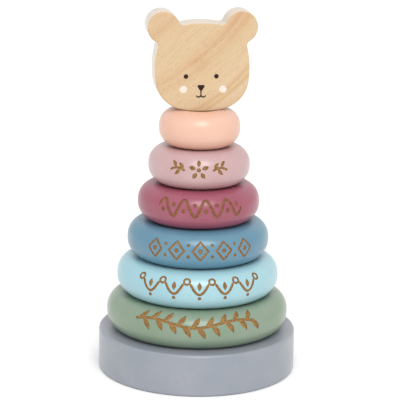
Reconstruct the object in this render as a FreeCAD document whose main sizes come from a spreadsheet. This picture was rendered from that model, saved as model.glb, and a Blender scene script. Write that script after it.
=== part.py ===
"""Wooden stacking toy: a base with a fixed post, six loose rings and a bear's head.

The frame stands on the middle of the base's underside: +Z is up, the bear looks along -Y.
All sizes are in millimetres.
"""
import FreeCAD, Part
import math
import os
import Sketcher
from FreeCAD import Vector

# Driving sizes. Each is one cell of the sheet, and every feature below is bound to these cells.
SIZES = {
    # base disc, with the blind socket that the post is glued into
    "base_diameter": 105.8,
    "base_height": 22.5,
    "base_edge_radius": 1.5,
    "base_floor": 6.5,
    # post
    "post_diameter": 10.0,
    "post_in_head": 22.0,
    "post_tip_radius": 3.5,
    "post_foot_chamfer": 0.6,
    # rings: the top ring is the smallest, and each one below is a step larger
    "ring_thickness": 20.0,
    "ring_belly_height": 1.6,
    "top_ring_diameter": 43.2,
    "ring_diameter_step": 10.8,
    "ring_bore_clearance": 2.5,
    "ring_mouth_radius": 4.5,
    "ring_crest_width": 0.4,
    # bear's head: a flat plate cut to an outline of arcs
    "head_thickness": 16.0,
    "face_width": 50.0,
    "face_height": 46.9,
    "face_widest_height": 22.3,
    "face_side_radius": 50.0,
    "chin_radius": 45.0,
    "jaw_start_width": 25.0,
    "crown_radius": 53.0,
    "ear_diameter": 17.0,
    "ear_inset": 4.5,
    "ear_drop": 2.4,
    "ear_notch_radius": 2.6,
    "head_edge_radius": 1.0,
    "head_bore_clearance": 0.5,
    "head_bore_tip_gap": 2.0,
    "head_seat_clearance": 0.1,
}

# The loose rings, from the bottom of the stack to the top.
RING_LABELS = ["ring_sage", "ring_aqua", "ring_blue", "ring_plum", "ring_pink", "ring_peach"]
RING_COUNT = len(RING_LABELS)

# Expressions that more than one piece uses.
STACK_TOP = f"(Sizes.base_height + {RING_COUNT} * Sizes.ring_thickness)"
RING_BORE = "(Sizes.post_diameter + 2 * Sizes.ring_bore_clearance)"
HEAD_BORE = "(Sizes.post_diameter + 2 * Sizes.head_bore_clearance)"

# A ring's outside is rounded by its rim radius down to the belly, and the mouths of its bore by
# the mouth radius, which leaves the crest of the smallest ring its width.
RIM_RADIUS = "((Sizes.ring_thickness - Sizes.ring_belly_height) / 2)"
MOUTH_ROOM = (f"(Sizes.top_ring_diameter - {RING_BORE}) / 2"
              f" - {RIM_RADIUS} - Sizes.ring_crest_width")
MOUTH_RADIUS = f"min(Sizes.ring_mouth_radius; {MOUTH_ROOM})"

# The head's round chin rests in the mouth of the top ring. The plate's lower edges touch the
# rounding of the mouth where chin and rounding run level, which sets how deep the chin sits.
CREST_RADIUS = f"({RING_BORE} / 2 + {MOUTH_RADIUS})"
CHIN_REACH = "(Sizes.head_thickness / 2 - Sizes.head_edge_radius)"
SEAT_DEPTH = (f"({CREST_RADIUS}^2 * Sizes.chin_radius / (Sizes.chin_radius + {MOUTH_RADIUS})"
              f" - {CHIN_REACH}^2) / (2 * Sizes.chin_radius)")
HEAD_HEIGHT = f"{STACK_TOP} - max(0; {SEAT_DEPTH}) + Sizes.head_seat_clearance"

# Two places closer than this are the same place when an edge is looked for.
TOLERANCE = 1e-4
# A pocket that removes less than this volume has missed the solid.
LEAST_CUT = 1.0


def make_sheet(doc):
    """Writes the driving sizes into a spreadsheet, one alias per size."""
    sheet = doc.addObject("Spreadsheet::Sheet", "Sizes")
    for row, (alias, value) in enumerate(SIZES.items(), start=1):
        sheet.set(f"A{row}", alias)
        sheet.set(f"B{row}", str(value))
        sheet.setAlias(f"B{row}", alias)
    doc.recompute()
    return sheet


def make_body(doc, label, height_expression=None):
    """Adds an empty body that stands at the given height on the stack's axis."""
    body = doc.addObject("PartDesign::Body", label)
    body.Label = label
    if height_expression:
        body.setExpression("Placement.Base.z", height_expression)
    return body


def origin_plane(body, role):
    """Finds one of the body's own origin planes by its role."""
    return next(item for item in body.Origin.OriginFeatures if item.Role == role)


def make_sketch(body, name, role, offset_expression=None):
    """Adds a sketch on one of the body's origin planes, or parallel to it at an offset."""
    sketch = body.newObject("Sketcher::SketchObject", name)
    sketch.AttachmentSupport = (origin_plane(body, role), [""])
    sketch.MapMode = "FlatFace"
    if offset_expression:
        sketch.setExpression("AttachmentOffset.Base.z", offset_expression)
    return sketch


def drive(sketch, name, expression, *constraint):
    """Adds one dimension to a sketch, named and bound to an expression on the sheet."""
    index = sketch.addConstraint(Sketcher.Constraint(*constraint))
    sketch.renameConstraint(index, name)
    sketch.setExpression(f"Constraints.{name}", expression)


def add_circle(sketch, name, diameter_expression, start_radius):
    """Draws a circle about the sketch's origin, with its diameter bound to the sheet."""
    circle = sketch.addGeometry(Part.Circle(Vector(), Vector(0, 0, 1), start_radius), False)
    sketch.addConstraint(Sketcher.Constraint("Coincident", circle, 3, -1, 1))
    drive(sketch, name, diameter_expression, "Diameter", circle, 2 * start_radius)
    return circle


def add_pad(body, name, sketch, length_expression, symmetric=False):
    """Extrudes a sketch, to one side or evenly to both."""
    pad = body.newObject("PartDesign::Pad", name)
    pad.Profile = sketch
    pad.SideType = "Symmetric" if symmetric else "One side"
    pad.setExpression("Length", length_expression)
    sketch.Visibility = False
    body.Document.recompute()
    return pad


def add_pocket(body, name, sketch, depth_expression, reverse):
    """Cuts a sketch into the body, and makes sure that the cut removed material."""
    volume_before = body.Shape.Volume
    pocket = body.newObject("PartDesign::Pocket", name)
    pocket.Profile = sketch
    pocket.Reversed = reverse
    pocket.setExpression("Length", depth_expression)
    body.Document.recompute()
    if body.Shape.Volume > volume_before - LEAST_CUT:
        raise RuntimeError(f"{body.Label}: {name} removed no material")
    return pocket


def dress_edges(body, kind, name, edge_names, size_property, size_expression):
    """Adds a fillet or a chamfer to the named edges of the body's last feature."""
    if not edge_names:
        raise RuntimeError(f"{body.Label}: {name} found no edges")
    base = body.Tip
    feature = body.newObject(f"PartDesign::{kind}", name)
    feature.Base = (base, edge_names)
    feature.setExpression(size_property, size_expression)
    body.Document.recompute()
    return feature


def round_edges(body, name, edge_names, radius_expression):
    """Rounds the named edges."""
    return dress_edges(body, "Fillet", name, edge_names, "Radius", radius_expression)


def edges_where(body, test):
    """Names the edges of the body's last feature that pass the test, in the body's own frame."""
    edges = body.Tip.Shape.Edges
    return [f"Edge{index}" for index, edge in enumerate(edges, start=1) if test(edge)]


def is_circle(edge, radius, heights):
    """Tells whether an edge is a level circle of this radius at one of these heights."""
    curve = edge.Curve
    if not isinstance(curve, Part.Circle) or abs(curve.Radius - radius) > TOLERANCE:
        return False
    return any(abs(curve.Center.z - height) < TOLERANCE for height in heights)


def build_base(doc, sheet):
    """The base: a round-edged disc with a blind socket for the post."""
    body = make_body(doc, "base_disc")
    outline = make_sketch(body, "BaseOutline", "XY_Plane")
    add_circle(outline, "base_diameter", "Sizes.base_diameter", sheet.base_diameter / 2)
    add_pad(body, "BasePad", outline, "Sizes.base_height")

    socket = make_sketch(body, "SocketOutline", "XY_Plane", "Sizes.base_height")
    add_circle(socket, "socket_diameter", "Sizes.post_diameter", sheet.post_diameter / 2)
    add_pocket(body, "Socket", socket, "Sizes.base_height - Sizes.base_floor", reverse=False)

    rims = edges_where(body, lambda edge: is_circle(
        edge, sheet.base_diameter / 2, (0.0, sheet.base_height)))
    round_edges(body, "BaseEdges", rims, "Sizes.base_edge_radius")
    return body


def build_post(doc, sheet):
    """The post: a dowel from the floor of the socket up into the head, with a rounded tip."""
    body = make_body(doc, "center_post", "Sizes.base_floor")
    outline = make_sketch(body, "PostOutline", "XY_Plane")
    add_circle(outline, "post_diameter", "Sizes.post_diameter", sheet.post_diameter / 2)
    add_pad(body, "PostPad", outline, f"{STACK_TOP} + Sizes.post_in_head - Sizes.base_floor")

    length = body.Shape.BoundBox.ZLength
    foot = edges_where(body, lambda edge: is_circle(edge, sheet.post_diameter / 2, (0.0,)))
    dress_edges(body, "Chamfer", "PostFoot", foot, "Size", "Sizes.post_foot_chamfer")
    tip = edges_where(body, lambda edge: is_circle(edge, sheet.post_diameter / 2, (length,)))
    round_edges(body, "PostTip", tip, "Sizes.post_tip_radius")
    return body


def build_ring(doc, sheet, label, place):
    """One ring: a turned disc with a bore, its outside rounded from both faces to the belly."""
    steps_below_top = RING_COUNT - 1 - place
    diameter = sheet.top_ring_diameter + steps_below_top * sheet.ring_diameter_step
    bore = sheet.post_diameter + 2 * sheet.ring_bore_clearance
    faces = (0.0, sheet.ring_thickness)

    body = make_body(doc, label, f"Sizes.base_height + {place} * Sizes.ring_thickness")
    outline = make_sketch(body, f"{label}_outline", "XY_Plane")
    add_circle(
        outline, "ring_diameter",
        f"Sizes.top_ring_diameter + {steps_below_top} * Sizes.ring_diameter_step", diameter / 2)
    add_circle(outline, "bore_diameter", RING_BORE, bore / 2)
    add_pad(body, f"{label}_pad", outline, "Sizes.ring_thickness")

    rims = edges_where(body, lambda edge: is_circle(edge, diameter / 2, faces))
    round_edges(body, f"{label}_rims", rims, RIM_RADIUS)
    mouths = edges_where(body, lambda edge: is_circle(edge, bore / 2, faces))
    round_edges(body, f"{label}_mouths", mouths, MOUTH_RADIUS)
    return body


def upper_meeting(first_centre, first_radius, second_centre, second_radius):
    """The upper one of the two points where two circles of the sketch plane meet."""
    between = second_centre - first_centre
    distance = between.Length
    along = (first_radius ** 2 - second_radius ** 2 + distance ** 2) / (2 * distance)
    across = math.sqrt(first_radius ** 2 - along ** 2)
    direction = between / distance
    normal = Vector(-direction.y, direction.x, 0)
    foot = first_centre + direction * along
    return max(foot + normal * across, foot - normal * across, key=lambda point: point.y)


def tangent_radius(start, outward, large_centre, large_radius):
    """Radius of the arc that leaves a point square to outward and runs into a larger circle."""
    reach = start - large_centre
    return (large_radius ** 2 - reach.dot(reach)) / (2 * (large_radius - reach.dot(outward)))


def arc_between(centre, start, end):
    """An arc about a centre that runs anticlockwise from one point to another."""
    circle = Part.Circle(centre, Vector(0, 0, 1), (start - centre).Length)
    first = math.atan2(start.y - centre.y, start.x - centre.x)
    last = math.atan2(end.y - centre.y, end.x - centre.x)
    return Part.ArcOfCircle(circle, first, last)


def draw_half_face(sketch, sheet):
    """Draws the right half of the face: chin, jaw and side as tangent arcs, and the crown."""
    half_jaw_start = sheet.jaw_start_width / 2
    chin_centre = Vector(0, sheet.chin_radius, 0)
    side_centre = Vector(
        sheet.face_width / 2 - sheet.face_side_radius, sheet.face_widest_height, 0)
    crown_centre = Vector(0, sheet.face_height - sheet.crown_radius, 0)
    chin_drop = math.sqrt(sheet.chin_radius ** 2 - half_jaw_start ** 2)
    chin_to_jaw = chin_centre + Vector(half_jaw_start, -chin_drop, 0)
    outward = (chin_to_jaw - chin_centre) / sheet.chin_radius
    jaw_radius = tangent_radius(chin_to_jaw, outward, side_centre, sheet.face_side_radius)
    jaw_centre = chin_to_jaw - outward * jaw_radius
    jaw_to_side = side_centre + (jaw_centre - side_centre).normalize() * sheet.face_side_radius
    side_to_crown = upper_meeting(
        crown_centre, sheet.crown_radius, side_centre, sheet.face_side_radius)
    foot = Vector(0, 0, 0)
    top = Vector(0, sheet.face_height, 0)

    middle = sketch.addGeometry(Part.LineSegment(top, foot), False)
    chin = sketch.addGeometry(arc_between(chin_centre, foot, chin_to_jaw), False)
    jaw = sketch.addGeometry(arc_between(jaw_centre, chin_to_jaw, jaw_to_side), False)
    side = sketch.addGeometry(arc_between(side_centre, jaw_to_side, side_to_crown), False)
    crown = sketch.addGeometry(arc_between(crown_centre, side_to_crown, top), False)

    # A constraint names a point as start (1), end (2) or centre (3); -1 and -2 are the axes.
    for rule in (
        ("Coincident", middle, 2, -1, 1),
        ("Vertical", middle),
        ("Coincident", chin, 1, middle, 2),
        ("PointOnObject", chin, 3, -2),
        ("Tangent", chin, 2, jaw, 1),
        ("Tangent", jaw, 2, side, 1),
        ("Coincident", crown, 1, side, 2),
        ("Coincident", crown, 2, middle, 1),
        ("PointOnObject", crown, 3, -2),
    ):
        sketch.addConstraint(Sketcher.Constraint(*rule))
    drive(sketch, "half_jaw_start", "Sizes.jaw_start_width / 2",
          "DistanceX", middle, 2, chin, 2, half_jaw_start)
    drive(sketch, "face_height", "Sizes.face_height",
          "DistanceY", middle, 2, middle, 1, sheet.face_height)
    drive(sketch, "side_centre_x", "Sizes.face_side_radius - Sizes.face_width / 2",
          "DistanceX", side, 3, -1, 1, -side_centre.x)
    drive(sketch, "side_centre_z", "Sizes.face_widest_height",
          "DistanceY", -1, 1, side, 3, side_centre.y)
    for name, arc in (
            ("chin_radius", chin), ("face_side_radius", side), ("crown_radius", crown)):
        drive(sketch, name, f"Sizes.{name}", "Radius", arc, sheet.get(name))


def draw_ear(sketch, sheet):
    """Draws the right ear: a circle set in from the face's side and down from its crown."""
    centre = Vector(sheet.face_width / 2 - sheet.ear_inset, sheet.face_height - sheet.ear_drop, 0)
    circle = Part.Circle(centre, Vector(0, 0, 1), sheet.ear_diameter / 2)
    ear = sketch.addGeometry(circle, False)
    drive(sketch, "ear_x", "Sizes.face_width / 2 - Sizes.ear_inset",
          "DistanceX", -1, 1, ear, 3, centre.x)
    drive(sketch, "ear_z", "Sizes.face_height - Sizes.ear_drop",
          "DistanceY", -1, 1, ear, 3, centre.y)
    drive(sketch, "ear_diameter", "Sizes.ear_diameter", "Diameter", ear, sheet.ear_diameter)


def crosses_plate(edge, centres, distance):
    """Tells whether a straight edge runs across the plate at this distance from a centre."""
    if not isinstance(edge.Curve, Part.Line) or edge.BoundBox.YLength < TOLERANCE:
        return False
    point = edge.Vertexes[0].Point
    return any(
        abs(math.hypot(point.x - centre.x, point.z - centre.z) - distance) < TOLERANCE
        for centre in centres)


def lies_on_face(edge, half_thickness):
    """Tells whether an edge lies in the front or the back face of the plate."""
    box = edge.BoundBox
    flat = box.YLength < TOLERANCE
    return flat and abs(abs(box.YMin) - half_thickness) < TOLERANCE


def build_head(doc, sheet):
    """The bear's head: half the outline is drawn and mirrored, then bored from the chin."""
    body = make_body(doc, "bear_head", HEAD_HEIGHT)
    half_face = make_sketch(body, "HalfFace", "XZ_Plane")
    draw_half_face(half_face, sheet)
    face_pad = add_pad(body, "FacePad", half_face, "Sizes.head_thickness", symmetric=True)
    ear_outline = make_sketch(body, "EarOutline", "XZ_Plane")
    draw_ear(ear_outline, sheet)
    ear_pad = add_pad(body, "EarPad", ear_outline, "Sizes.head_thickness", symmetric=True)

    mirrored = body.newObject("PartDesign::Mirrored", "BothHalves")
    mirrored.Originals = [face_pad, ear_pad]
    mirrored.MirrorPlane = (origin_plane(body, "YZ_Plane"), [""])
    body.Tip = mirrored
    doc.recompute()

    ear_x = sheet.face_width / 2 - sheet.ear_inset
    ear_z = sheet.face_height - sheet.ear_drop
    ear_centres = [Vector(ear_x, 0, ear_z), Vector(-ear_x, 0, ear_z)]
    notches = edges_where(
        body, lambda edge: crosses_plate(edge, ear_centres, sheet.ear_diameter / 2))
    round_edges(body, "EarNotches", notches, "Sizes.ear_notch_radius")
    rims = edges_where(body, lambda edge: lies_on_face(edge, sheet.head_thickness / 2))
    round_edges(body, "HeadEdges", rims, "Sizes.head_edge_radius")

    bore = make_sketch(body, "HeadBoreOutline", "XY_Plane")
    add_circle(bore, "bore_diameter", HEAD_BORE,
               sheet.post_diameter / 2 + sheet.head_bore_clearance)
    add_pocket(
        body, "HeadBore", bore, "Sizes.post_in_head + Sizes.head_bore_tip_gap", reverse=True)
    return body


def check_model(doc, bodies):
    """Stops the build if any feature failed or any piece is not one sound solid."""
    failed = [item.Name for item in doc.Objects if {"Invalid", "Error"} & set(item.State)]
    if failed:
        raise RuntimeError(f"failed objects: {failed}")
    for body in bodies:
        shape = body.Shape
        if shape.isNull() or not shape.isValid() or len(shape.Solids) != 1:
            raise RuntimeError(f"{body.Label} is not one valid solid")


def main():
    """Builds the document and writes each piece to its own STEP file."""
    doc = FreeCAD.newDocument("stacking_toy")
    sheet = make_sheet(doc)
    bodies = [build_base(doc, sheet), build_post(doc, sheet)]
    for place, label in enumerate(RING_LABELS):
        bodies.append(build_ring(doc, sheet, label, place))
    bodies.append(build_head(doc, sheet))
    doc.recompute()
    check_model(doc, bodies)

    os.makedirs("parts", exist_ok=True)
    for body in bodies:
        body.Shape.exportStep(os.path.join("parts", f"{body.Label}.step"))
        box = body.Shape.BoundBox
        print(f"{body.Label}: {body.Shape.Volume / 1000:.1f} cm3, "
              f"z {box.ZMin:.2f} to {box.ZMax:.2f}, "
              f"{box.XLength:.2f} x {box.YLength:.2f} x {box.ZLength:.2f} mm")


main()
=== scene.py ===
"""Looks of a wooden stacking toy: a base with a post, six lacquered rings and a bear's head.

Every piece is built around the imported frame. +Z is up, the bear looks along -Y, and lengths are
in metres unless a name ends in _mm.
"""

import logging
import math
from collections.abc import Callable, Iterator
from contextlib import contextmanager
from dataclasses import dataclass, field
from enum import Enum

import bmesh
import bpy
from mathutils import Matrix, Vector


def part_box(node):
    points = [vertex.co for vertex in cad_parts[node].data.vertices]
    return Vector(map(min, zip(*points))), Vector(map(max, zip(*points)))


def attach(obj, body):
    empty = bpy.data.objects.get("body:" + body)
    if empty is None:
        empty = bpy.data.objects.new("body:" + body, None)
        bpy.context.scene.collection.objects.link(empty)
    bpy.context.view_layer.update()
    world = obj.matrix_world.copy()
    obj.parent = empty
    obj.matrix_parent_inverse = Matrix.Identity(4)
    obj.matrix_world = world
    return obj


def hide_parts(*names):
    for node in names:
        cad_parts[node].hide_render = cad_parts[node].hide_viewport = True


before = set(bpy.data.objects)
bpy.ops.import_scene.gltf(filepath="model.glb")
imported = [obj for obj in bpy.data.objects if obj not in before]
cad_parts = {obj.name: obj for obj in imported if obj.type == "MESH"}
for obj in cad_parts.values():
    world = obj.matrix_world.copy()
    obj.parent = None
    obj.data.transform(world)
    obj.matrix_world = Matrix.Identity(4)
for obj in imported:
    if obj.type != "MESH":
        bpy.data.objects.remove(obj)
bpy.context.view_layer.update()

log = logging.getLogger("stacking_toy")

MM = 0.001
FULL_TURN = 2 * math.pi
QUARTER_TURN = math.pi / 2
# Two points closer than this are the same point.
MERGE_DISTANCE = 1e-6
# Faces that meet at less than this angle are shaded as one smooth surface.
SMOOTH_ANGLE = math.radians(35)
# The side of the toy that the viewer sees, as a turn about the post: 0 is straight ahead of the
# bear. The loose rings are turned so that their engraving faces this way.
VIEW_AZIMUTH = math.radians(-8)

Point2 = tuple[float, float]


# ---- Colours and nodes ----

def linear(hex_colour: str) -> tuple[float, float, float, float]:
    """Turns an sRGB hex colour into the linear colour that shaders read.

    Args:
        hex_colour: The colour as "#RRGGBB".

    Returns:
        Red, green, blue and an alpha of 1.
    """
    # The curve and its numbers are the sRGB standard's.
    channels = [int(hex_colour[place:place + 2], 16) / 255 for place in (1, 3, 5)]
    red, green, blue = (
        value / 12.92 if value <= 0.04045 else ((value + 0.055) / 1.055) ** 2.4
        for value in channels)
    return red, green, blue, 1.0


def add_node(tree: bpy.types.NodeTree, kind: str, inputs: dict | None = None,
             stops: dict[float, str] | None = None, **settings: object) -> bpy.types.Node:
    """Adds one node, with its settings, socket values and links.

    Args:
        tree: The node tree of the material.
        kind: The node's type, without the leading "ShaderNode".
        inputs: Socket name or number to a plain value, or to an output socket to link.
        stops: For a colour ramp, the hex colour at each place.
        **settings: The node's own properties.

    Returns:
        The new node.
    """
    node = tree.nodes.new("ShaderNode" + kind)
    for name, value in settings.items():
        setattr(node, name, value)
    for name, value in (inputs or {}).items():
        if isinstance(value, bpy.types.NodeSocket):
            tree.links.new(value, node.inputs[name])
        else:
            node.inputs[name].default_value = value
    if stops:
        elements = node.color_ramp.elements
        while len(elements) > 1:
            elements.remove(elements[-1])
        for index, (place, colour) in enumerate(sorted(stops.items())):
            element = elements[0] if index == 0 else elements.new(place)
            element.position = place
            element.color = linear(colour)
    return node


def start_material(
        name: str) -> tuple[bpy.types.Material, bpy.types.NodeTree, bpy.types.NodeSocket]:
    """Starts an empty node material whose patterns are laid out in millimetres.

    Args:
        name: The material's name.

    Returns:
        The material, its node tree and the socket with the place on the toy in millimetres.
    """
    material = bpy.data.materials.new(name)
    material.use_nodes = True
    tree = material.node_tree
    tree.nodes.clear()
    place = add_node(tree, "TexCoord").outputs["Object"]
    in_mm = add_node(tree, "VectorMath", {0: place, "Scale": 1 / MM}, operation="SCALE")
    return material, tree, in_mm.outputs[0]


def finish_material(tree: bpy.types.NodeTree, shader: bpy.types.Node) -> None:
    """Links a shader to the material's output.

    Args:
        tree: The node tree of the material.
        shader: The shader that the surface shows.
    """
    add_node(tree, "OutputMaterial", {"Surface": shader.outputs[0]})


@dataclass(frozen=True)
class SatinLacquer:
    """Water-based satin lacquer, sprayed in several coats over sanded beech.

    It gives a soft, wide highlight, a faint unevenness where the coats have levelled, and a
    trace of the wood's pores that shows only as a slight texture.

    Attributes:
        name: The finish's name.
        colour: The lacquer's colour where it lies thickest.
        thin_colour: Its colour where the coat is a little thinner.
        roughness: How much the surface scatters a reflection.
        sheen_spread: How far its roughness strays from that, from patch to patch.
    """

    name: str
    colour: str
    thin_colour: str
    roughness: float = 0.31
    sheen_spread: float = 0.04

    def make(self) -> bpy.types.Material:
        """Builds the lacquer's material.

        Returns:
            The material.
        """
        material, tree, place = start_material(self.name)
        # The spray leaves cloudy patches a couple of centimetres across.
        cloud = add_node(tree, "TexNoise", {
            "Vector": place, "Scale": 1 / 22, "Detail": 3.0, "Roughness": 0.55})
        colour = add_node(tree, "ValToRGB", {0: cloud.outputs[0]}, stops={
            0.36: self.thin_colour, 0.64: self.colour})
        # Orange peel: the levelled lacquer waves by a few micrometres every 1.6 mm.
        peel = add_node(tree, "TexNoise", {"Vector": place, "Scale": 1 / 1.6, "Detail": 2.0})
        # Beech pores under the coat are 0.15 mm wide and 2 mm long; drawn three times as large.
        along = add_node(tree, "Mapping", {"Vector": place, "Scale": (1 / 6, 1 / 0.45, 1 / 0.45)})
        pores = add_node(tree, "TexNoise", {
            "Vector": along.outputs[0], "Scale": 1.0, "Detail": 2.0})
        peel_bump = add_node(tree, "Bump", {
            "Height": peel.outputs[0], "Strength": 0.35, "Distance": 0.03 * MM})
        pore_bump = add_node(tree, "Bump", {
            "Height": pores.outputs[0], "Normal": peel_bump.outputs[0], "Strength": 0.30,
            "Distance": 0.02 * MM})
        sheen = add_node(tree, "MapRange", {
            "Value": cloud.outputs[0], "From Min": 0.3, "From Max": 0.7,
            "To Min": self.roughness - self.sheen_spread,
            "To Max": self.roughness + self.sheen_spread})
        # A dried polyurethane film; the coat on it is the last, thin one.
        shader = add_node(tree, "BsdfPrincipled", {
            "Base Color": colour.outputs[0], "Roughness": sheen.outputs[0],
            "Normal": pore_bump.outputs[0], "IOR": 1.49, "Coat Weight": 0.2,
            "Coat Roughness": 0.26})
        finish_material(tree, shader)
        return material


@dataclass(frozen=True)
class LaserBrownedBeech:
    """The floor of a laser-engraved line: beech scorched to a dull golden brown.

    Attributes:
        name: The finish's name.
        scorched: The colour where the beam dwelt.
        golden: The colour of the lightly browned wood.
    """

    name: str
    scorched: str
    golden: str

    def make(self) -> bpy.types.Material:
        """Builds the scorched wood's material.

        Returns:
            The material.
        """
        material, tree, place = start_material(self.name)
        # The beam crosses hard and soft fibres about 0.8 mm apart, which brown unevenly.
        fibre = add_node(tree, "TexNoise", {
            "Vector": place, "Scale": 1 / 0.8, "Detail": 3.0, "Roughness": 0.6})
        colour = add_node(tree, "ValToRGB", {0: fibre.outputs[0]}, stops={
            0.35: self.scorched, 0.62: self.golden})
        bump = add_node(tree, "Bump", {
            "Height": fibre.outputs[0], "Strength": 0.5, "Distance": 0.08 * MM})
        shader = add_node(tree, "BsdfPrincipled", {
            "Base Color": colour.outputs[0], "Normal": bump.outputs[0], "Roughness": 0.72,
            "IOR": 1.5})
        finish_material(tree, shader)
        return material


@dataclass(frozen=True)
class BareWood:
    """Sanded, unvarnished softwood board with straight grain.

    It is matt, with broad warm bands where the year rings meet the surface at a slant, fine
    fibre lines between them and short darker pores.

    Attributes:
        name: The finish's name.
        grain_tilt: Angle of the grain above the X axis, in the XZ plane.
        bands: Hex colours of the year-ring bands, by place across the grain from 0 to 1.
        bands_from_mm: Place across the grain where the bands start.
        bands_to_mm: Place across the grain where they end.
        plain: Hex colour that the bands fade to where they lie deeper.
        wander_mm: How far the bands wander from a straight line.
        bend: How much the grain bends upwards to both sides, per millimetre of its length.
        bend_at_mm: Place along the grain where it runs straight.
    """

    name: str
    grain_tilt: float
    bands: dict[float, str]
    bands_from_mm: float
    bands_to_mm: float
    plain: str
    wander_mm: float = 1.6
    bend: float = 0.0
    bend_at_mm: float = 0.0

    def make(self) -> bpy.types.Material:
        """Builds the wood's material.

        Returns:
            The material.
        """
        material, tree, place = start_material(self.name)
        # Turned so that X runs along the grain and Z across it.
        turned = add_node(tree, "Mapping", {
            "Vector": place, "Rotation": (0.0, self.grain_tilt, 0.0)}).outputs[0]
        # The bands wander over 55 mm along the grain and over 14 mm across it.
        slow = add_node(tree, "Mapping", {
            "Vector": turned, "Scale": (1 / 55, 1 / 40, 1 / 14)})
        wander = add_node(tree, "TexNoise", {
            "Vector": slow.outputs[0], "Scale": 1.0, "Detail": 1.5})
        along, _, across = add_node(tree, "SeparateXYZ", {0: turned}).outputs
        centred = add_node(tree, "Math", {0: along, 1: self.bend_at_mm}, operation="SUBTRACT")
        squared = add_node(tree, "Math", {0: centred.outputs[0], 1: 2.0}, operation="POWER")
        bent = add_node(tree, "Math", {
            0: squared.outputs[0], 1: -self.bend, 2: across}, operation="MULTIPLY_ADD")
        shifted = add_node(tree, "Math", {
            0: wander.outputs[0], 1: 2 * self.wander_mm, 2: bent.outputs[0]},
            operation="MULTIPLY_ADD")
        band_place = add_node(tree, "MapRange", {
            "Value": shifted.outputs[0], "From Min": self.bands_from_mm + self.wander_mm,
            "From Max": self.bands_to_mm + self.wander_mm})
        bands = add_node(tree, "ValToRGB", {0: band_place.outputs[0]}, stops=self.bands)
        # The bands fade in and out over 20 mm, where the rings lie nearer or deeper.
        depth = add_node(tree, "TexNoise", {"Vector": place, "Scale": 1 / 20, "Detail": 1.0})
        fade = add_node(tree, "MapRange", {
            "Value": depth.outputs[0], "From Min": 0.42, "From Max": 0.66, "To Max": 0.5})
        faded = add_node(tree, "Mix", {
            0: fade.outputs[0], 6: bands.outputs[0], 7: linear(self.plain)}, data_type="RGBA")
        # Fibres: lines 0.5 mm apart that run on for 15 mm.
        fine = add_node(tree, "Mapping", {"Vector": turned, "Scale": (1 / 15, 1 / 0.5, 1 / 0.5)})
        fibres = add_node(tree, "TexNoise", {
            "Vector": fine.outputs[0], "Scale": 1.0, "Detail": 3.0, "Roughness": 0.6})
        fibre_tone = add_node(tree, "ValToRGB", {0: fibres.outputs[0]}, stops={
            0.30: "#EBDDD0", 0.50: "#F9F4EF", 0.70: "#FFFFFF"})
        fibred = add_node(tree, "Mix", {
            0: 0.6, 6: faded.outputs[2], 7: fibre_tone.outputs[0]},
            data_type="RGBA", blend_type="MULTIPLY")
        # Pores: dashes 0.35 mm wide and 2 mm long.
        short = add_node(tree, "Mapping", {"Vector": turned, "Scale": (1 / 2, 1 / 0.35, 1 / 0.35)})
        pores = add_node(tree, "TexNoise", {
            "Vector": short.outputs[0], "Scale": 1.0, "Detail": 1.0})
        pore_tone = add_node(tree, "ValToRGB", {0: pores.outputs[0]}, stops={
            0.28: "#D9C0A4", 0.40: "#FFFFFF"})
        pored = add_node(tree, "Mix", {
            0: 0.6, 6: fibred.outputs[2], 7: pore_tone.outputs[0]},
            data_type="RGBA", blend_type="MULTIPLY")
        bump = add_node(tree, "Bump", {
            "Height": fibres.outputs[0], "Strength": 0.35, "Distance": 0.05 * MM})
        shader = add_node(tree, "BsdfPrincipled", {
            "Base Color": pored.outputs[2], "Normal": bump.outputs[0], "Roughness": 0.62,
            "IOR": 1.5})
        finish_material(tree, shader)
        return material


@dataclass(frozen=True)
class PrintedInk:
    """Pad-printed ink: a matt, slightly mottled film on the wood's fibres.

    Attributes:
        name: The finish's name.
        full: The ink's colour where it covers.
        thin: Its colour where the film is thin.
    """

    name: str
    full: str
    thin: str

    def make(self) -> bpy.types.Material:
        """Builds the ink's material.

        Returns:
            The material.
        """
        material, tree, place = start_material(self.name)
        # The film breaks up over fibres about 0.4 mm apart.
        mottle = add_node(tree, "TexNoise", {"Vector": place, "Scale": 1 / 0.4, "Detail": 2.0})
        colour = add_node(tree, "ValToRGB", {0: mottle.outputs[0]}, stops={
            0.30: self.thin, 0.48: self.full})
        bump = add_node(tree, "Bump", {
            "Height": mottle.outputs[0], "Strength": 0.3, "Distance": 0.02 * MM})
        shader = add_node(tree, "BsdfPrincipled", {
            "Base Color": colour.outputs[0], "Normal": bump.outputs[0], "Roughness": 0.6,
            "IOR": 1.48, "Specular IOR Level": 0.3})
        finish_material(tree, shader)
        return material


# ---- Modelling helpers ----

def pick(*objects: bpy.types.Object) -> None:
    """Selects these objects and no others, and makes the first the active one.

    Args:
        *objects: The objects to select.
    """
    bpy.ops.object.select_all(action="DESELECT")
    for item in objects:
        item.select_set(True)
    bpy.context.view_layer.objects.active = objects[0]


@contextmanager
def editing(item: bpy.types.Object, mode: str = "FACE",
            start: str = "DESELECT") -> Iterator[None]:
    """Opens an object in edit mode, and closes it again.

    Args:
        item: The mesh object.
        mode: What is selected in it: VERT, EDGE or FACE.
        start: SELECT to start with all of it selected, DESELECT with nothing.

    Yields:
        Nothing; the operators act on the open mesh.
    """
    pick(item)
    bpy.ops.object.mode_set(mode="EDIT")
    bpy.ops.mesh.select_mode(type=mode)
    bpy.ops.mesh.select_all(action=start)
    yield
    bpy.ops.object.mode_set(mode="OBJECT")


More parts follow.
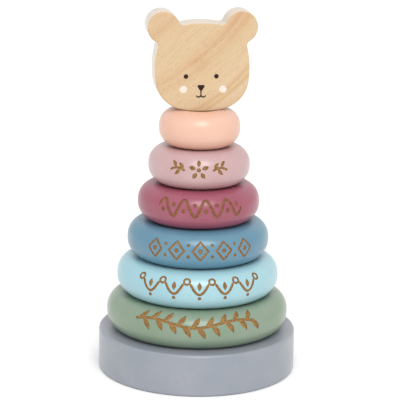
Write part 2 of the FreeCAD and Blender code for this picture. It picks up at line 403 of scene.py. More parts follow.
def choose(part: str, test: Callable[[object], bool]) -> None:
    """Selects the vertices, edges or faces of the open mesh that pass a test.

    Args:
        part: "verts", "edges" or "faces".
        test: Says whether one of them is wanted.
    """
    mesh = bpy.context.object.data
    opened = bmesh.from_edit_mesh(mesh)
    for element in getattr(opened, part):
        if test(element):
            element.select_set(True)
    bmesh.update_edit_mesh(mesh)


def close_seams() -> None:
    """Merges the doubled points selected in the open mesh and turns its faces outwards."""
    bpy.ops.mesh.remove_doubles(threshold=MERGE_DISTANCE)
    bpy.ops.mesh.normals_make_consistent(inside=False)


def settle(item: bpy.types.Object) -> None:
    """Moves an object's place, turn and size into its mesh.

    Args:
        item: The finished object.
    """
    pick(item)
    bpy.ops.object.transform_apply(location=True, rotation=True, scale=True)


def smooth(item: bpy.types.Object) -> None:
    """Shades a mesh smooth, apart from its sharp edges.

    Args:
        item: The mesh object.
    """
    pick(item)
    bpy.ops.object.shade_smooth_by_angle(angle=SMOOTH_ANGLE)


def apply_modifier(item: bpy.types.Object, kind: str, **settings: object) -> None:
    """Adds a modifier to an object and applies it.

    Args:
        item: The mesh object.
        kind: The modifier's type.
        **settings: The modifier's properties.
    """
    pick(item)
    modifier = item.modifiers.new(kind.lower(), kind)
    for name, value in settings.items():
        setattr(modifier, name, value)
    bpy.ops.object.modifier_apply(modifier=modifier.name)


def hand_over(item: bpy.types.Object, name: str, body: str) -> None:
    """Names a finished piece and joins it to the body that it moves with.

    Args:
        item: The finished object.
        name: The piece's name.
        body: The body of the frame that it rides on.
    """
    item.name = name
    item.data.name = name
    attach(item, body)
    log.info("%s rides on %s, %d faces", name, body, len(item.data.polygons))


# ---- Base and post ----

@dataclass
class Stand:
    """The lacquered base disc and the bare dowel glued into it.

    Attributes:
        lacquer: The finish of the base.
        dowel_wood: The wood of the post.
        edge_radius: Rounding of the base's upper and lower edge.
        tip_radius: Rounding of the post's upper end.
        foot_chamfer: Chamfer at the post's foot.
        side_faces: Number of faces round the base.
        post_faces: Number of faces round the post.
        edge_segments: Facets across each rounding.
    """

    lacquer: SatinLacquer
    dowel_wood: BareWood
    edge_radius: float = 1.5 * MM
    tip_radius: float = 3.5 * MM
    foot_chamfer: float = 0.6 * MM
    side_faces: int = 192
    post_faces: int = 64
    edge_segments: int = 8

    def build_base(self) -> None:
        """Turns the base from a cylinder, with its socket and rounded edges."""
        low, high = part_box("base_disc")
        post_low, post_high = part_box("center_post")
        radius = (high.x - low.x) / 2
        socket_radius = (post_high.x - post_low.x) / 2
        bpy.ops.mesh.primitive_cylinder_add(
            vertices=self.side_faces, radius=radius, depth=high.z - low.z,
            location=(low + high) / 2)
        base = bpy.context.object
        settle(base)
        with editing(base, "EDGE"):
            choose("edges", lambda edge: abs(edge.verts[0].co.z - edge.verts[1].co.z)
                   < MERGE_DISTANCE)
            bpy.ops.mesh.bevel(offset=self.edge_radius, segments=self.edge_segments)
        with editing(base):
            choose("faces", lambda face: face.calc_center_median().z > high.z - MERGE_DISTANCE)
            bpy.ops.mesh.inset(thickness=radius - self.edge_radius - socket_radius)
            bpy.ops.mesh.extrude_region_move(
                TRANSFORM_OT_translate={"value": (0, 0, post_low.z - high.z)})
        with editing(base):
            choose("faces", lambda face: face.calc_center_median().z < low.z + MERGE_DISTANCE)
            bpy.ops.mesh.inset(thickness=self.edge_radius)
        smooth(base)
        base.data.materials.append(self.lacquer.make())
        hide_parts("base_disc")
        hand_over(base, "painted_base", "root")

    def build_post(self) -> None:
        """Turns the post from a cylinder, with its rounded tip and chamfered foot."""
        low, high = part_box("center_post")
        bpy.ops.mesh.primitive_cylinder_add(
            vertices=self.post_faces, radius=(high.x - low.x) / 2, depth=high.z - low.z,
            location=(low + high) / 2)
        post = bpy.context.object
        settle(post)
        with editing(post, "EDGE"):
            choose("edges", lambda edge: min(vert.co.z for vert in edge.verts)
                   > high.z - MERGE_DISTANCE)
            bpy.ops.mesh.bevel(offset=self.tip_radius, segments=self.edge_segments)
        with editing(post, "EDGE"):
            choose("edges", lambda edge: max(vert.co.z for vert in edge.verts)
                   < low.z + MERGE_DISTANCE)
            bpy.ops.mesh.bevel(offset=self.foot_chamfer, segments=1)
        smooth(post)
        post.data.materials.append(self.dowel_wood.make())
        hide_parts("center_post")
        hand_over(post, "beech_post", "root")

    def build(self) -> None:
        """Builds the base and the post."""
        self.build_base()
        self.build_post()


# ---- Engraved ornaments ----

# Stretches along a leaf or a dot, round a small ring, and along one side of a diamond.
LEAF_STEPS = 10
LOOP_STEPS = 20
DIAMOND_SIDE_STEPS = 4


class CutShape(Enum):
    """How the width of an engraved cut changes from its start to its end."""

    LINE = "even, with short pointed ends"
    LEAF = "swelling from a point at each end"
    LOOP = "even, with its end joined to its start"


@dataclass(frozen=True)
class Cut:
    """One cut of the engraver, on a ring's rim rolled out flat, in millimetres.

    Attributes:
        place: Finds the point on the cut's middle line at a share from 0 to 1.
        steps: Number of stretches that the cut is made of.
        half_width: Half the width of the cut at its widest.
        shape: How its width changes.
    """

    place: Callable[[float], Point2]
    steps: int
    half_width: float = 0.6
    shape: CutShape = CutShape.LINE

    def width_at(self, share: float) -> float:
        """Finds half the width of the cut at one place.

        Args:
            share: The place along the cut, from 0 to 1.

        Returns:
            Half the width there, in millimetres.
        """
        if self.shape is CutShape.LEAF:
            return self.half_width * math.sin(math.pi * share)
        if self.shape is CutShape.LOOP:
            return self.half_width
        steps_from_end = min(share, 1 - share) * self.steps
        return self.half_width * min(1.0, steps_from_end)

    def point(self, share: float, side: float) -> Point2:
        """Finds a point of the cut's outline, or inside it.

        Args:
            share: The place along the cut, from 0 to 1.
            side: The place across it, from -1 on the right to 1 on the left.

        Returns:
            The point.
        """
        # The cut's direction is found from two points this share of its path away.
        nudge = 1e-4
        joined = self.shape is CutShape.LOOP
        before = self.place(share - nudge if joined else max(0.0, share - nudge))
        after = self.place(share + nudge if joined else min(1.0, share + nudge))
        run, rise = after[0] - before[0], after[1] - before[1]
        reach = side * self.width_at(share) / math.hypot(run, rise)
        middle_point = self.place(share)
        return middle_point[0] - rise * reach, middle_point[1] + run * reach


def leaf(root: Point2, direction: float, length: float, half_width: float,
         bow: float = 0.12) -> Cut:
    """Draws a leaf that bows a little to one side.

    Args:
        root: Where the leaf starts.
        direction: The way it points, as an angle from the right.
        length: Its length.
        half_width: Half its width at the middle.
        bow: How far its middle line bows, as a share of its length.

    Returns:
        The cut.
    """
    def place(share: float) -> Point2:
        """Finds a point on the leaf's middle line."""
        along = share * length
        side = bow * length * math.sin(math.pi * share)
        return (root[0] + along * math.cos(direction) - side * math.sin(direction),
                root[1] + along * math.sin(direction) + side * math.cos(direction))
    return Cut(place, LEAF_STEPS, half_width, CutShape.LEAF)


def dot(centre: Point2, radius: float = 0.9) -> Cut:
    """Draws a round dot.

    Args:
        centre: The middle of the dot.
        radius: Its radius.

    Returns:
        The cut.
    """
    def place(share: float) -> Point2:
        """Finds a point on the dot's width; the steps close up towards its ends."""
        return centre[0] - radius * math.cos(math.pi * share), centre[1]
    return Cut(place, LEAF_STEPS, radius, CutShape.LEAF)


def loop(centre: Point2, radius: float) -> Cut:
    """Draws a small ring.

    Args:
        centre: The middle of the ring.
        radius: The radius of its middle line.

    Returns:
        The cut.
    """
    def place(share: float) -> Point2:
        """Finds a point on the ring."""
        turn = FULL_TURN * share
        return centre[0] + radius * math.cos(turn), centre[1] + radius * math.sin(turn)
    return Cut(place, LOOP_STEPS, shape=CutShape.LOOP)


def diamond(centre: Point2, across: float, up: float) -> Cut:
    """Draws the outline of an upright diamond.

    Args:
        centre: The middle of the diamond.
        across: Half its width.
        up: Half its height.

    Returns:
        The cut.
    """
    def place(share: float) -> Point2:
        """Finds a point on the outline; a step ends at each corner."""
        quarter, along = divmod(4 * (share % 1.0), 1.0)
        corners = [(across, 0.0), (0.0, up), (-across, 0.0), (0.0, -up), (across, 0.0)]
        start, end = corners[int(quarter)], corners[int(quarter) + 1]
        return (centre[0] + start[0] + (end[0] - start[0]) * along,
                centre[1] + start[1] + (end[1] - start[1]) * along)
    return Cut(place, 4 * DIAMOND_SIDE_STEPS, shape=CutShape.LOOP)


def spread(count: int, spacing: float) -> list[float]:
    """Places a number of things side by side about the middle.

    Args:
        count: How many there are.
        spacing: Distance from one to the next.

    Returns:
        The distance of each one to the right of the middle.
    """
    return [spacing * (number - (count - 1) / 2) for number in range(count)]


def flower_between_sprigs() -> list[Cut]:
    """Draws a five-petalled flower with a leafy sprig on each side."""
    heart_radius, petals, petal_root, petal_length, petal_half_width = 1.1, 5, 1.7, 3.8, 1.15
    stem_start, stem_length, stem_rise, stem_drop, stem_steps = 7.2, 8.6, 1.5, 0.6, 16
    leaf_angle, leaf_length, leaf_half_width, leaf_bow = 0.9, 4.6, 0.95, 0.1
    # Each leaf's place along the stem, and whether it points up or down.
    leaves = ((0.12, 1), (0.36, -1), (0.58, 1))
    cuts = [dot((0.0, 0.0), heart_radius)]
    for petal in range(petals):
        turn = QUARTER_TURN + FULL_TURN * petal / petals
        root = (petal_root * math.cos(turn), petal_root * math.sin(turn))
        cuts.append(leaf(root, turn, petal_length, petal_half_width, bow=0.0))
    for side in (-1, 1):
        def stem(share: float, side: int = side) -> Point2:
            """Finds a point on the sprig's stem."""
            return (side * (stem_start + stem_length * share),
                    stem_rise * math.sin(math.pi * share) - stem_drop)
        cuts.append(Cut(stem, stem_steps))
        for share, rise in leaves:
            outward = leaf_angle * rise if side > 0 else math.pi - leaf_angle * rise
            cuts.append(leaf(stem(share), outward, leaf_length, leaf_half_width,
                             bow=leaf_bow * rise * side))
    return cuts


def running_wave() -> list[Cut]:
    """Draws a wave with a dot in each hollow."""
    half_length, height, waves, steps, half_width = 23.4, 4.4, 4, 96, 0.8
    dot_offset, dot_radius = 1.5, 1.15

    def place(share: float) -> Point2:
        """Finds a point on the wave."""
        return half_length * (2 * share - 1), height * math.sin(FULL_TURN * waves * share)
    hollows = spread(2 * waves, half_length / waves)
    dots = [dot((across, -dot_offset * (-1) ** number), dot_radius)
            for number, across in enumerate(hollows)]
    return [Cut(place, steps, half_width), *dots]


def diamond_row() -> list[Cut]:
    """Draws a row of diamonds, each round a dot, with a pair of dots between neighbours."""
    spacing, count, half_width, half_height = 12.6, 5, 4.1, 4.9
    dot_radius, pair_offset = 1.2, 3.0
    cuts = []
    for across in spread(count, spacing):
        cuts += [diamond((across, 0.0), half_width, half_height), dot((across, 0.0), dot_radius)]
    for across in spread(count - 1, spacing):
        cuts += [dot((across, pair_offset)), dot((across, -pair_offset))]
    return cuts


def garland() -> list[Cut]:
    """Draws a hanging garland: bows between small rings, with a drop inside each bow."""
    span, count, sag, top, bow_share, bow_steps, bow_half_width = 13.6, 5, 5.8, 3.2, 0.75, 24, 0.7
    drop_rise, drop_length, drop_half_width = 0.7, 4.6, 1.15
    dot_drop, dot_radius, ring_rise, ring_radius = 2.1, 0.95, 0.9, 1.6
    cuts = []
    for across in spread(count, span):
        def bow(share: float, across: float = across) -> Point2:
            """Finds a point on one bow."""
            return (across + span * bow_share * (share - 0.5),
                    top - sag * math.sin(math.pi * share))
        cuts.append(Cut(bow, bow_steps, bow_half_width))
        cuts.append(leaf((across, top + drop_rise), -QUARTER_TURN, drop_length,
                         drop_half_width, bow=0.0))
        cuts.append(dot((across, top - sag - dot_drop), dot_radius))
    for across in spread(count + 1, span):
        cuts.append(loop((across, top + ring_rise), ring_radius))
    return cuts


def leafy_branch() -> list[Cut]:
    """Draws a long branch with leaves on both sides."""
    half_length, sway, sways, steps, half_width = 34.5, 1.6, 1.5, 80, 0.75
    pairs, leaf_angle, leaf_length, leaf_half_width, leaf_bow = 9, 0.9, 7.6, 1.4, 0.1
    # Where a pair's upper and lower leaf start, as a share of the way to the next pair.
    upper_start, lower_start = 0.25, 0.65

    def stem(share: float) -> Point2:
        """Finds a point on the branch."""
        return half_length * (2 * share - 1), sway * math.sin(FULL_TURN * sways * share)
    cuts = [Cut(stem, steps, half_width)]
    for pair in range(pairs):
        for start, rise in ((upper_start, 1), (lower_start, -1)):
            cuts.append(leaf(stem((pair + start) / pairs), leaf_angle * rise, leaf_length,
                             leaf_half_width, bow=-leaf_bow * rise))
    return cuts


class Ornament(Enum):
    """The pattern engraved on the front of a ring."""

    PLAIN = "plain"
    FLOWER = "flower between sprigs"
    WAVE = "running wave"
    DIAMONDS = "diamond row"
    GARLAND = "garland"
    BRANCH = "leafy branch"

    def cuts(self) -> list[Cut]:
        """Draws the pattern.

        Returns:
            The engraver's cuts, in millimetres on the rim rolled out flat.
        """
        drawings = {
            Ornament.FLOWER: flower_between_sprigs,
            Ornament.WAVE: running_wave,
            Ornament.DIAMONDS: diamond_row,
            Ornament.GARLAND: garland,
            Ornament.BRANCH: leafy_branch,
        }
        return drawings[self]() if self in drawings else []


# ---- Rings ----

@dataclass
class Ring:
    """One turned ring, lacquered all over and engraved on one side.

    Attributes:
        node: The ring's node and body in the frame.
        lacquer: Its finish.
        ornament: The pattern engraved on it.
        engraving: The finish of the engraved lines.
        engraving_place: The ornament's middle, right and up from the belly's, in millimetres
            on the rim rolled out flat.
        belly_height: Height of the upright band between the two roundings of the outside.
        bore_radius: Radius of the hole.
        mouth_radius: Rounding of the hole's two mouths.
        cut_depth: Depth of the engraving.
        steps: Number of faces round the ring.
        rim_segments: Facets across each outer rounding.
        mouth_segments: Facets across each rounding of the hole.
        cutter_clearance: How far the cutters stand out of the lacquer.
        seat_gap: Air between the ring and what rests on it.
    """

    node: str
    lacquer: SatinLacquer
    ornament: Ornament
    engraving: bpy.types.Material
    engraving_place: Point2 = (0.0, 0.0)
    belly_height: float = 1.6 * MM
    bore_radius: float = 7.5 * MM
    mouth_radius: float = 4.5 * MM
    cut_depth: float = 0.35 * MM
    steps: int = 192
    rim_segments: int = 16
    mouth_segments: int = 8
    cutter_clearance: float = 0.8 * MM
    seat_gap: float = 0.02 * MM
    low: Vector = field(init=False)
    high: Vector = field(init=False)

    def __post_init__(self) -> None:
        """Reads the ring's place and size from the frame."""
        self.low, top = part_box(self.node)
        self.high = Vector((top.x, top.y, top.z - self.seat_gap))

    @property
    def radius(self) -> float:
        """The ring's largest radius."""
        return (self.high.x - self.low.x) / 2

    @property
    def rim_radius(self) -> float:
        """The rounding of the ring's outside."""
        return (self.high.z - self.low.z - self.belly_height) / 2

    def on_rim(self, across: float, up: float, out: float) -> Vector:
        """Finds a place on the rim from where it is on the rim rolled out flat.

        Args:
            across: Distance to the right of the engraving's middle, along the belly.
            up: Distance up from the middle of the belly, along the rounding.
            out: Distance outwards from the lacquer.

        Returns:
            The place on the ring.
        """
        straight = min(abs(up), self.belly_height / 2)
        tilt = math.copysign((abs(up) - straight) / self.rim_radius, up)
        reach = self.radius - self.rim_radius + (self.rim_radius + out) * math.cos(tilt)
        height = math.copysign(straight, up) + (self.rim_radius + out) * math.sin(tilt)
        turn = VIEW_AZIMUTH + across / self.radius
        return Vector((reach * math.sin(turn), -reach * math.cos(turn),
                       (self.low.z + self.high.z) / 2 + height))

    def turn_ring(self) -> bpy.types.Object:
        """Draws the ring's section and spins it round the post.

        Returns:
            The ring, without its engraving.
        """
        middle_place = Vector(((self.bore_radius + self.radius) / 2, 0.0,
                               (self.low.z + self.high.z) / 2))
        bpy.ops.mesh.primitive_plane_add(
            size=1.0, location=middle_place, rotation=(QUARTER_TURN, 0, 0))
        ring = bpy.context.object
        ring.scale = (self.radius - self.bore_radius, self.high.z - self.low.z, 1.0)
        settle(ring)
        corners = (
            (self.rim_radius, self.rim_segments, lambda vert: vert.co.x > middle_place.x),
            (self.mouth_radius, self.mouth_segments,
             lambda vert: vert.co.x < self.bore_radius + MERGE_DISTANCE))
        for rounding, segments, test in corners:
            with editing(ring, "VERT"):
                choose("verts", test)
                bpy.ops.mesh.bevel(offset=rounding, segments=segments, affect="VERTICES")
        with editing(ring, "VERT", "SELECT"):
            bpy.ops.mesh.delete(type="ONLY_FACE")
            bpy.ops.mesh.select_all(action="SELECT")
            bpy.ops.mesh.spin(
                steps=self.steps, angle=FULL_TURN, center=(0, 0, 0), axis=(0, 0, 1))
            bpy.ops.mesh.select_all(action="SELECT")
            close_seams()
        return ring

    def shape_cutter(self, cut: Cut) -> bpy.types.Object:
        """Makes the solid that one cut of the engraver takes away.

        It is a flat strip with a thickness, wrapped onto the rim: its floor lies a cut's depth
        under the lacquer and its top stands clear of it.

        Args:
            cut: The cut.

        Returns:
            The cutter.
        """
        bpy.ops.mesh.primitive_grid_add(x_subdivisions=cut.steps, y_subdivisions=2, size=1.0)
        cutter = bpy.context.object
        with editing(cutter, start="SELECT"):
            bpy.ops.mesh.extrude_region_move(TRANSFORM_OT_translate={"value": (0, 0, 1)})
            if cut.shape is CutShape.LOOP:
                bpy.ops.mesh.select_all(action="DESELECT")
                choose("faces", lambda face: abs(face.calc_center_median().x)
                       > 0.5 - MERGE_DISTANCE)
                bpy.ops.mesh.delete(type="ONLY_FACE")
        for vert in cutter.data.vertices:
            across, up = cut.point(vert.co.x + 0.5, 2 * vert.co.y)
            out = vert.co.z * (self.cut_depth + self.cutter_clearance) - self.cut_depth
            vert.co = self.on_rim((self.engraving_place[0] + across) * MM,
                                  (self.engraving_place[1] + up) * MM, out)
        with editing(cutter, "VERT", "SELECT"):
            close_seams()
        return cutter

    def engrave(self, ring: bpy.types.Object) -> None:
        """Cuts the ornament into the ring.

        Args:
            ring: The turned ring.
        """
        for cut in self.ornament.cuts():
            cutter = self.shape_cutter(cut)
            cutter.data.materials.append(self.engraving)
            apply_modifier(ring, "BOOLEAN", operation="DIFFERENCE", object=cutter,
                           solver="MANIFOLD", material_mode="TRANSFER")
            bpy.data.objects.remove(cutter)

    def build(self) -> None:
        """Builds the ring."""
        ring = self.turn_ring()
        ring.data.materials.append(self.lacquer.make())
        self.engrave(ring)
        smooth(ring)
        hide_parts(self.node)
        hand_over(ring, f"painted_{self.node}", self.node)


# ---- Bear's head ----

@dataclass
class BearHead:
    """The bear's head: a board with a bare face, a painted rim and a printed face.

    Attributes:
        wood: The wood of the board's two faces.
        rim_lacquer: The finish of its rim.
        dark_ink: The ink of the eyes, nose and mouth.
        pale_ink: The ink of the cheeks.
        paint_edge: How far the bare wood reaches back from the face, round the edge.
        face_border: Width of the border of small faces that keeps the flat face flat.
        film: Thickness of the printed ink.
        film_edge: Rounding of the film's edge, as a share of its thickness.
        eye_corners: Number of corners of an eye's outline.
        cheek_corners: Number of corners of a cheek's outline.
        print_aside: How far the eyes, nose and mouth are printed to the right of the middle.
        eye_radius: Radius of an eye.
        eye_place: Right and up from the chin to the right eye.
        cheek_aside: How far the cheeks are printed to the right of the middle.
        cheek_radius: Radius of a cheek.
        cheek_place: Right and up from the chin to the right cheek.
        nose_width: Width of the nose.
        nose_height: Height of the nose.
        nose_rounding: How far its corners are cut back, as a share of its width.
        nose_growth: How much larger its triangle starts, to make up for that.
        nose_up: Height of the nose's middle above the chin.
        stem_shares: Places on the line under the nose, as shares of the nose's height.
        line_radius: Half the width of the mouth's lines.
        line_end: Their width at the ends, as a share of that.
        mouth_up: Height above the chin where the mouth's lines meet.
        smile_radius: Radius of each half of the smile.
        smile_step: Turn from one point of its arc to the next.
    """

    wood: BareWood
    rim_lacquer: SatinLacquer
    dark_ink: PrintedInk
    pale_ink: PrintedInk
    paint_edge: float = 0.4 * MM
    face_border: float = 0.25 * MM
    film: float = 0.12 * MM
    film_edge: float = 0.6
    eye_corners: int = 40
    cheek_corners: int = 48
    print_aside: float = -0.65 * MM
    eye_radius: float = 1.2 * MM
    eye_place: Point2 = (8.0 * MM, 18.9 * MM)
    cheek_aside: float = 0.45 * MM
    cheek_radius: float = 1.95 * MM
    cheek_place: Point2 = (10.4 * MM, 12.0 * MM)
    nose_width: float = 3.9 * MM
    nose_height: float = 3.5 * MM
    nose_rounding: float = 0.36
    nose_growth: float = 1.25
    nose_up: float = 13.1 * MM
    stem_shares: tuple[float, ...] = (0.2, 0.5, 0.8)
    line_radius: float = 0.38 * MM
    line_end: float = 0.7
    mouth_up: float = 9.2 * MM
    smile_radius: float = 1.25 * MM
    smile_step: float = math.radians(27)

    def build_board(self) -> None:
        """Dresses the board: bare faces inside a painted rim."""
        low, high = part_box("bear_head")
        board = bpy.data.objects.new("board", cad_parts["bear_head"].data.copy())
        bpy.context.scene.collection.objects.link(board)
        board.data.materials.clear()
        board.data.materials.append(self.rim_lacquer.make())
        board.data.materials.append(self.wood.make())
        board.active_material_index = 1
        with editing(board, start="SELECT"):
            bpy.ops.mesh.remove_doubles(threshold=MERGE_DISTANCE)
        for face_y, outward in ((low.y, -1), (high.y, 1)):
            paint_line = face_y - outward * self.paint_edge
            with editing(board, start="SELECT"):
                bpy.ops.mesh.bisect(plane_co=(0, paint_line, 0), plane_no=(0, 1, 0))
                bpy.ops.mesh.select_all(action="DESELECT")
                choose("faces", lambda face: all(
                    abs(vert.co.y - face_y) < MERGE_DISTANCE for vert in face.verts))
                bpy.ops.mesh.dissolve_faces()
                bpy.ops.mesh.inset(thickness=self.face_border)
                choose("faces", lambda face: outward * face.calc_center_median().y
                       > outward * paint_line)
                bpy.ops.object.material_slot_assign()
        smooth(board)
        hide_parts("bear_head")
        hand_over(board, "bear_head_board", "bear_head")

    def on_face(self, across: float, up: float) -> Vector:
        """Finds a place on the front of the board.

        Args:
            across: Distance to the right of the middle.
            up: Distance up from the chin.

        Returns:
            The place.
        """
        low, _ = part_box("bear_head")
        return Vector((across, low.y, low.z + up))

    def print_shape(self, name: str, place: Point2, radius: float, corners: int,
                    ink: bpy.types.Material, stretch: float = 1.0,
                    rounding: float = 0.0) -> None:
        """Prints one filled shape on the face.

        Args:
            name: The piece's name.
            place: Right and up from the chin to its middle.
            radius: Its radius.
            corners: The number of its corners: 3 for the nose, many for a round dot.
            ink: The ink.
            stretch: Its height as a share of its natural height.
            rounding: How far its corners are cut back, as a length.
        """
        middle_place = self.on_face(*place)
        bpy.ops.mesh.primitive_circle_add(
            vertices=corners, radius=radius, fill_type="NGON", location=middle_place,
            rotation=(QUARTER_TURN, 0, 0))
        shape = bpy.context.object
        settle(shape)
        with editing(shape, "VERT", "SELECT"):
            if corners == 3:
                bpy.ops.transform.rotate(value=math.pi, orient_axis="Y",
                                         center_override=middle_place)
            bpy.ops.transform.resize(value=(1, 1, stretch), center_override=middle_place)
            if rounding:
                bpy.ops.mesh.bevel(offset=rounding, segments=6, affect="VERTICES")
        with editing(shape, start="SELECT"):
            bpy.ops.mesh.extrude_region_move(
                TRANSFORM_OT_translate={"value": (0, -self.film, 0)})
            bpy.ops.mesh.select_all(action="SELECT")
            bpy.ops.mesh.normals_make_consistent(inside=False)
        with editing(shape, "EDGE"):
            choose("edges", lambda edge: max(vert.co.y for vert in edge.verts)
                   < middle_place.y - self.film / 2)
            bpy.ops.mesh.bevel(offset=self.film * self.film_edge, segments=3)
        smooth(shape)
        shape.data.materials.append(ink)
        hand_over(shape, name, "bear_head")

    def print_line(self, name: str, path: list[Point2], ink: bpy.types.Material) -> None:
        """Prints one thin line on the face.

        Args:
            name: The piece's name.
            path: Its points, right and up from the chin.
            ink: The ink.
        """
        bpy.ops.curve.primitive_nurbs_path_add()
        line = bpy.context.object
        curve = line.data
        curve.splines.clear()
        spline = curve.splines.new("NURBS")
        spline.points.add(len(path) - 1)
        for number, place in enumerate(path):
            spline.points[number].co = (*self.on_face(*place), 1.0)
            at_end = number in (0, len(path) - 1)
            spline.points[number].radius = self.line_end if at_end else 1.0
        spline.order_u = 3
        spline.use_endpoint_u = True
        curve.bevel_depth = self.line_radius
        curve.bevel_resolution = 3
        curve.use_fill_caps = True
        pick(line)
        bpy.ops.object.convert(target="MESH")
        line = bpy.context.object
        low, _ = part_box("bear_head")
        with editing(line, "VERT", "SELECT"):
            bpy.ops.transform.resize(
                value=(1, self.film / self.line_radius, 1), center_override=(0, low.y, 0))
            close_seams()
        smooth(line)
        line.data.materials.append(ink)
        hand_over(line, name, "bear_head")

    def build(self) -> None:
        """Builds the board and prints the face on it."""
        self.build_board()
        dark = self.dark_ink.make()
        pale = self.pale_ink.make()
        for side, sign in (("left", 1), ("right", -1)):
            eye = (self.print_aside + sign * self.eye_place[0], self.eye_place[1])
            self.print_shape(f"{side}_eye", eye, self.eye_radius, self.eye_corners, dark)
            cheek = (self.cheek_aside + sign * self.cheek_place[0], self.cheek_place[1])
            self.print_shape(f"{side}_cheek", cheek, self.cheek_radius, self.cheek_corners,
                             pale)
            smile = [(self.print_aside + sign * self.smile_radius * (1 - math.cos(turn)),
                      self.mouth_up - self.smile_radius * math.sin(turn))
                     for turn in (step * self.smile_step for step in range(7))]
            self.print_line(f"{side}_smile", smile, dark)
        # A triangle in a circle is the square root of 3 times the circle's radius wide.
        nose_radius = self.nose_width / math.sqrt(3) * self.nose_growth
        self.print_shape("nose", (self.print_aside, self.nose_up), nose_radius, 3, dark,
                         stretch=self.nose_height / self.nose_width,
                         rounding=self.nose_width * self.nose_rounding)
        stem = [(self.print_aside, self.nose_up - self.nose_height * share)
                for share in self.stem_shares]
        self.print_line("mouth_stem", [*stem, (self.print_aside, self.mouth_up)], dark)


# ---- Studio ----

@dataclass
class Studio:
    """A plain pale floor, soft lights and the camera.

    Attributes:
        camera_distance: How far in front of the post the camera stands.
        camera_height: Its height above the floor.
        camera_aside: How far it stands to the right of the post.
        camera_pitch: How far it looks down.
        camera_roll: How far it leans over.
        lens_mm: Its focal length.
        floor_size: Side of the floor.
        air_strength: Strength of the light that comes from all sides.
        softbox_azimuth: Turn of the softbox about the post, from the side that the viewer sees.
        softbox_rise: Its height above the horizon, as an angle.
        softbox_width: How wide it looks from the toy, as an angle.
        softbox_strength: Its strength in watts per square metre.
    """

    camera_distance: float = 0.9556
    camera_height: float = 0.33076
    camera_aside: float = 0.8 * MM
    camera_pitch: float = math.radians(14.015)
    camera_roll: float = math.radians(0.85)
    lens_mm: float = 165.99
    floor_size: float = 14.0
    air_strength: float = 0.88
    softbox_azimuth: float = math.radians(8)
    softbox_rise: float = math.radians(48)
    softbox_width: float = math.radians(34)
    softbox_strength: float = 1.65

    def build_camera(self) -> None:
        """Stands the camera in front of the toy."""
        turn = Matrix.Rotation(VIEW_AZIMUTH, 4, "Z")
        aim = Matrix.Rotation(QUARTER_TURN - self.camera_pitch, 4, "X")
        lean = Matrix.Rotation(self.camera_roll, 4, "Z")
        place = Matrix.Translation(
            (self.camera_aside, -self.camera_distance, self.camera_height))
        bpy.ops.object.camera_add()
        camera = bpy.context.object
        camera.matrix_world = turn @ place @ aim @ lean
        camera.data.lens = self.lens_mm
        camera.data.sensor_width = 36.0
        camera.data.clip_start = 0.01
        bpy.context.scene.camera = camera

    def build_floor(self) -> None:
        """Lays a plain pale floor of matt paper under the toy."""
        bpy.ops.mesh.primitive_plane_add(size=self.floor_size)
        floor = bpy.context.object
        floor.name = "floor"
        material, tree, place = start_material("matt_white_paper")
        tone = add_node(tree, "TexNoise", {"Vector": place, "Scale": 1 / 90, "Detail": 2.0})
        colour = add_node(tree, "ValToRGB", {0: tone.outputs[0]}, stops={
            0.3: "#F6F6F5", 0.7: "#F9F9F8"})
        shader = add_node(tree, "BsdfPrincipled", {
            "Base Color": colour.outputs[0], "Roughness": 0.95, "IOR": 1.4,
            "Specular IOR Level": 0.2})
        finish_material(tree, shader)
        floor.data.materials.append(material)

    def build_lights(self) -> None:
        """Sets up even light from all sides and one wide, distant softbox."""
        world = bpy.data.worlds.new("studio_air")
        world.use_nodes = True
        background = world.node_tree.nodes["Background"]
        background.inputs["Color"].default_value = linear("#FFFFFF")
        background.inputs["Strength"].default_value = self.air_strength
        bpy.context.scene.world = world
        turn = VIEW_AZIMUTH + self.softbox_azimuth
        away = Vector((math.sin(turn) * math.cos(self.softbox_rise),
                       -math.cos(turn) * math.cos(self.softbox_rise),
                       math.sin(self.softbox_rise)))
        bpy.ops.object.light_add(type="SUN", location=away)
        softbox = bpy.context.object
        softbox.name = "front_softbox"
        softbox.rotation_euler = away.to_track_quat("Z", "Y").to_euler()
        softbox.data.angle = self.softbox_width
        softbox.data.energy = self.softbox_strength

    def build(self) -> None:
        """Builds the whole studio."""
        self.build_floor()
        self.build_lights()
        self.build_camera()
        bpy.context.scene.view_settings.view_transform = "Standard"


# ---- The toy ----

# Colours of the year-ring bands, by place across the grain.
HEAD_BANDS = {
    0.00: "#C7AC88",
    0.08: "#CEB796",
    0.105: "#C5A37B",
    0.125: "#CCB490",
    0.15: "#C6A67F",
    0.18: "#CEB694",
    0.36: "#CCB28D",
    0.425: "#C5A27B",
    0.45: "#CBAD88",
    0.475: "#C39B75",
    0.51: "#CAAB85",
    0.60: "#CDB490",
    0.80: "#CCB18C",
    0.86: "#C3A27C",
    0.90: "#CBAE8B",
}

DOWEL_BANDS = {
    0.0: "#DDBE93",
    0.3: "#E6CBA3",
    0.45: "#D4B084",
    0.6: "#E4C89E",
    0.85: "#D8B68A",
}


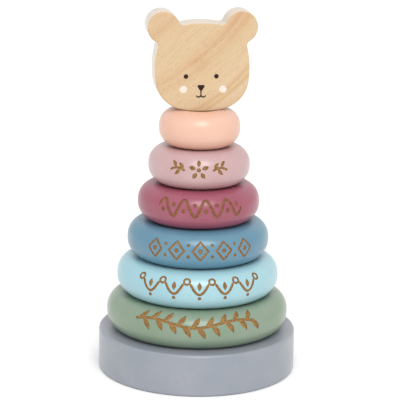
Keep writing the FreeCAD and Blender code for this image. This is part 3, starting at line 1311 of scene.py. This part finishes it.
def build_toy() -> None:
    """Builds every piece of the toy."""
    Stand(
        lacquer=SatinLacquer("grey_blue_lacquer", "#898F98", "#91949C"),
        dowel_wood=BareWood("sanded_beech_dowel", QUARTER_TURN, DOWEL_BANDS, bands_from_mm=-6.0,
                            bands_to_mm=6.0, plain="#E4C9A0"),
    ).build()

    golden_brown = LaserBrownedBeech("laser_browned_beech", "#6C4D22", "#9A7239").make()
    red_brown = LaserBrownedBeech("laser_browned_beech_with_plum_smoke", "#6A3C26",
                                  "#8E5C3A").make()
    # Each ring's node, lacquer, thin lacquer, ornament, the ornament's place and its finish.
    rings = (
        ("ring_sage", "#798C76", "#80917E", Ornament.BRANCH, (-1.2, 5.1), golden_brown),
        ("ring_aqua", "#93BCC6", "#9AC0C8", Ornament.GARLAND, (1.27, 2.56), golden_brown),
        ("ring_blue", "#558096", "#5D869A", Ornament.DIAMONDS, (1.4, 1.65), golden_brown),
        ("ring_plum", "#924859", "#984F62", Ornament.WAVE, (1.1, 3.0), red_brown),
        ("ring_pink", "#B99697", "#BE9E9E", Ornament.FLOWER, (0.0, 2.2), golden_brown),
        ("ring_peach", "#DAAC96", "#DBB29F", Ornament.PLAIN, (0.0, 0.0), golden_brown),
    )
    for node, colour, thin_colour, ornament, place, engraving in rings:
        lacquer = SatinLacquer(f"{node}_lacquer", colour, thin_colour)
        Ring(node, lacquer, ornament, engraving, place).build()

    BearHead(
        wood=BareWood("sanded_bare_board", math.radians(40), HEAD_BANDS, bands_from_mm=100.0,
                      bands_to_mm=165.0, plain="#CDB592", bend=0.0047, bend_at_mm=108.0),
        rim_lacquer=SatinLacquer("cream_rim_lacquer", "#D1C4B3", "#D3C6B7"),
        dark_ink=PrintedInk("dark_brown_ink", "#1E0F06", "#2C1A0F"),
        pale_ink=PrintedInk("pale_pink_ink", "#E2D4CA", "#D9C3B3"),
    ).build()


def main() -> None:
    """Builds the toy and its studio."""
    logging.basicConfig(level=logging.INFO, format="%(name)s: %(message)s")
    build_toy()
    Studio().build()


if __name__ == "__main__":
    main()
